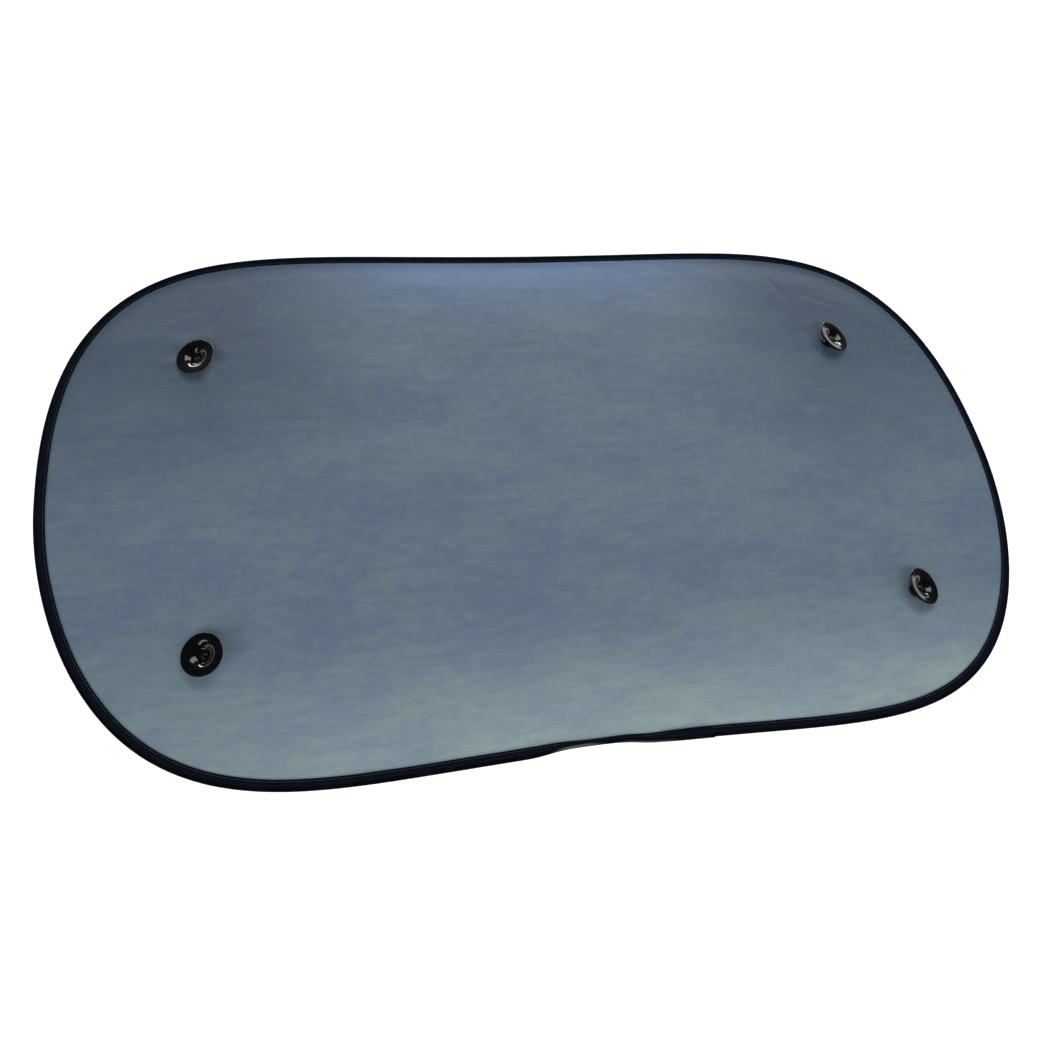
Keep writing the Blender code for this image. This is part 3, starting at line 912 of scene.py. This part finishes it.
def eyelet_corners():
    """The section of an eyelet: a domed flange in front, a barrel and the edge rolled out behind."""
    front = FLANGE_FACE + FLANGE_THICKNESS
    barrel = EYELET_BORE + EYELET_WALL
    return [
        (EYELET_BORE, front - 0.0006, 0.0003),
        (EYELET_BORE + 0.0006, front, 0.0004),
        (FLANGE_RADIUS - 0.0020, front, 0.0010),
        (FLANGE_RADIUS, FLANGE_FACE + 0.0003, 0.0002),
        (FLANGE_RADIUS, FLANGE_FACE, 0),
        (barrel, FLANGE_FACE, 0),
        (barrel, -ROLL_BACK + 0.0005, 0),
        (barrel + ROLL_REACH, -ROLL_BACK + 0.0005, 0.0002),
        (barrel + ROLL_REACH * 0.6, -ROLL_BACK, 0.0003),
        (EYELET_BORE, -ROLL_BACK, 0.0003),
    ]


def washer_corners():
    inner = EYELET_BORE + EYELET_WALL + 0.0003
    return [
        (FLANGE_RADIUS - 0.0004, -FLANGE_FACE, 0.0001),
        (FLANGE_RADIUS - 0.0004, -FLANGE_FACE - WASHER_THICKNESS, 0.0003),
        (inner, -FLANGE_FACE - WASHER_THICKNESS, 0.0001),
        (inner, -FLANGE_FACE, 0),
    ]


def frame_at(place, axis):
    across = Vector((1, 0, 0))
    across = (across - axis * across.dot(axis)).normalized()
    turned_axes = Matrix((across, axis.cross(across), axis)).transposed()
    return Matrix.Translation(place) @ turned_axes.to_4x4()


def put_at(made, place, axis):
    made.matrix_world = frame_at(place, axis)
    pick(made)
    bpy.ops.object.transform_apply(location=True, rotation=True, scale=True)


def copy_of(made, name):
    copied = made.copy()
    copied.data = made.data.copy()
    copied.name = copied.data.name = name
    bpy.context.scene.collection.objects.link(copied)
    return copied


def make_fixings(rubber, lacquer, holes):
    """The four cups on their swivel axes, and the four eyelets and washers square to the cloth."""
    cup = turned("cup_pattern", cup_corners(), CUP_STEPS)
    mark_outside(cup)
    eyelet = turned("eyelet_pattern", eyelet_corners(), EYELET_STEPS, closed=True)
    washer = turned("washer_pattern", washer_corners(), EYELET_STEPS, closed=True)
    rings = []
    for pattern, prefix, material, slot in (
        (cup, "suction_cup_", rubber, "black_pvc"),
        (eyelet, "eyelet_", lacquer, "eyelet_black"),
        (washer, "eyelet_washer_", lacquer, "eyelet_black"),
    ):
        pattern.data.materials.append(material)
        for corner, hole in zip(CORNERS, holes):
            made = copy_of(pattern, "shown_" + prefix + corner)
            if pattern is cup:
                swivel = SWIVELS["cup_" + corner]
                put_at(made, Vector(swivel["pos_m"]), Vector(swivel["axis"]).normalized())
                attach(made, "cup_" + corner)
            else:
                flat = hole.reshape(1, 2)
                put_at(made, Vector(on_sheet(flat, 0)[0]), Vector(normals_at(flat)[0]))
                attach(made, "shade")
                rings.append(made)
            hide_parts(prefix + corner)
    for pattern in (cup, eyelet, washer):
        bpy.data.objects.remove(pattern)
    return rings


# Stage


def make_floor():
    """A wide pale floor that shows white to the camera and in gloss, and still takes the shade's shadow."""
    select_none()
    bpy.ops.mesh.primitive_plane_add(size=FLOOR_SIZE, location=(0, 0, FLOOR_HEIGHT))
    floor = bpy.context.object
    floor.name = "studio_floor"
    bpy.ops.object.transform_apply(location=True, rotation=False, scale=False)
    material = bpy.data.materials.new("pale_floor")
    material.use_nodes = True
    tree = material.node_tree
    tree.nodes.remove(tree.nodes["Principled BSDF"])
    path = tree.nodes.new("ShaderNodeLightPath").outputs
    seen = maths(tree, "MAXIMUM", path["Is Camera Ray"], path["Is Glossy Ray"])
    seen = maths(tree, "MAXIMUM", seen, path["Is Transmission Ray"])
    lit = add_node(tree, "ShaderNodeBsdfDiffuse", Color=(0.8, 0.8, 0.8, 1)).outputs[0]
    dim = add_node(tree, "ShaderNodeBsdfDiffuse", Color=(0.45, 0.45, 0.45, 1)).outputs[0]
    glow = add_node(tree, "ShaderNodeEmission", Color=(1, 1, 1, 1), Strength=0.8).outputs[0]
    shown = add_node(tree, "ShaderNodeAddShader", n0=dim, n1=glow).outputs[0]
    mixed = add_node(tree, "ShaderNodeMixShader", n0=seen, n1=lit, n2=shown).outputs[0]
    tree.links.new(mixed, tree.nodes["Material Output"].inputs["Surface"])
    floor.data.materials.append(material)


def make_world():
    """A bright, thin horizon under a dark ceiling, and plain white to the camera."""
    world = bpy.data.worlds.new("studio")
    bpy.context.scene.world = world
    world.use_nodes = True
    tree = world.node_tree
    direction = tree.nodes.new("ShaderNodeTexCoord").outputs["Generated"]
    height = add_node(tree, "ShaderNodeSeparateXYZ", Vector=direction).outputs["Z"]
    level = spread(tree, height, 0.03, 0.08, 2.0, 0.03)
    camera = tree.nodes.new("ShaderNodeLightPath").outputs["Is Camera Ray"]
    level = maths(tree, "MAXIMUM", level, camera)
    tree.links.new(level, tree.nodes["Background"].inputs["Strength"])
    tree.nodes["Background"].inputs["Color"].default_value = (1, 1, 1, 1)


def add_softbox(name, place, aim, size, power, mirrored):
    """A rectangular lamp; one that is not mirrored lights the shade but doesn't show in its gloss."""
    lamp = bpy.data.lights.new(name, "AREA")
    lamp.shape = "RECTANGLE"
    lamp.size, lamp.size_y = size
    lamp.energy = power
    made = bpy.data.objects.new(name, lamp)
    bpy.context.scene.collection.objects.link(made)
    made.location = place
    made.rotation_euler = (Vector(aim) - Vector(place)).to_track_quat("-Z", "Y").to_euler()
    made.visible_glossy = mirrored


def make_camera():
    data = bpy.data.cameras.new("camera")
    data.sensor_width = SENSOR_WIDTH
    data.lens = LENS
    camera = bpy.data.objects.new("camera", data)
    bpy.context.scene.collection.objects.link(camera)
    camera.location = CAMERA_PLACE
    camera.rotation_euler = CAMERA_TURN
    data.clip_start = 0.01
    data.clip_end = 100
    bpy.context.scene.camera = camera


make_camera()
make_world()
make_floor()
for label, details in SOFTBOXES.items():
    add_softbox(label, *details)
bpy.context.scene.view_settings.view_transform = "Standard"

HOLES = cup_holes()
CLOTH = make_cloth(HOLES)
CLOTH.data.materials.append(cloth_material())
RIM_LENGTH = walk_round(RIM_STATIONS)[2]
BINDING = make_binding(RIM_LENGTH)
BINDING.data.materials.append(tape_material())
STITCHES = make_stitches(RIM_LENGTH)
STITCHES.data.materials.append(thread_material())
for piece, node, slot in (
    (CLOTH, "mesh_panel", "mesh_cloth"),
    (BINDING, "edge_binding", "binding_tape"),
    (STITCHES, None, "binding_tape"),
):
    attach(piece, "shade")
    if node:
        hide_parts(node)
RINGS = make_fixings(rubber_material(), eyelet_material(), HOLES)
STEEL = steel_material()
for node in ("frame_wire", "wire_ferrule"):
    frame["nodes"][node].data.materials.clear()
    frame["nodes"][node].data.materials.append(STEEL)
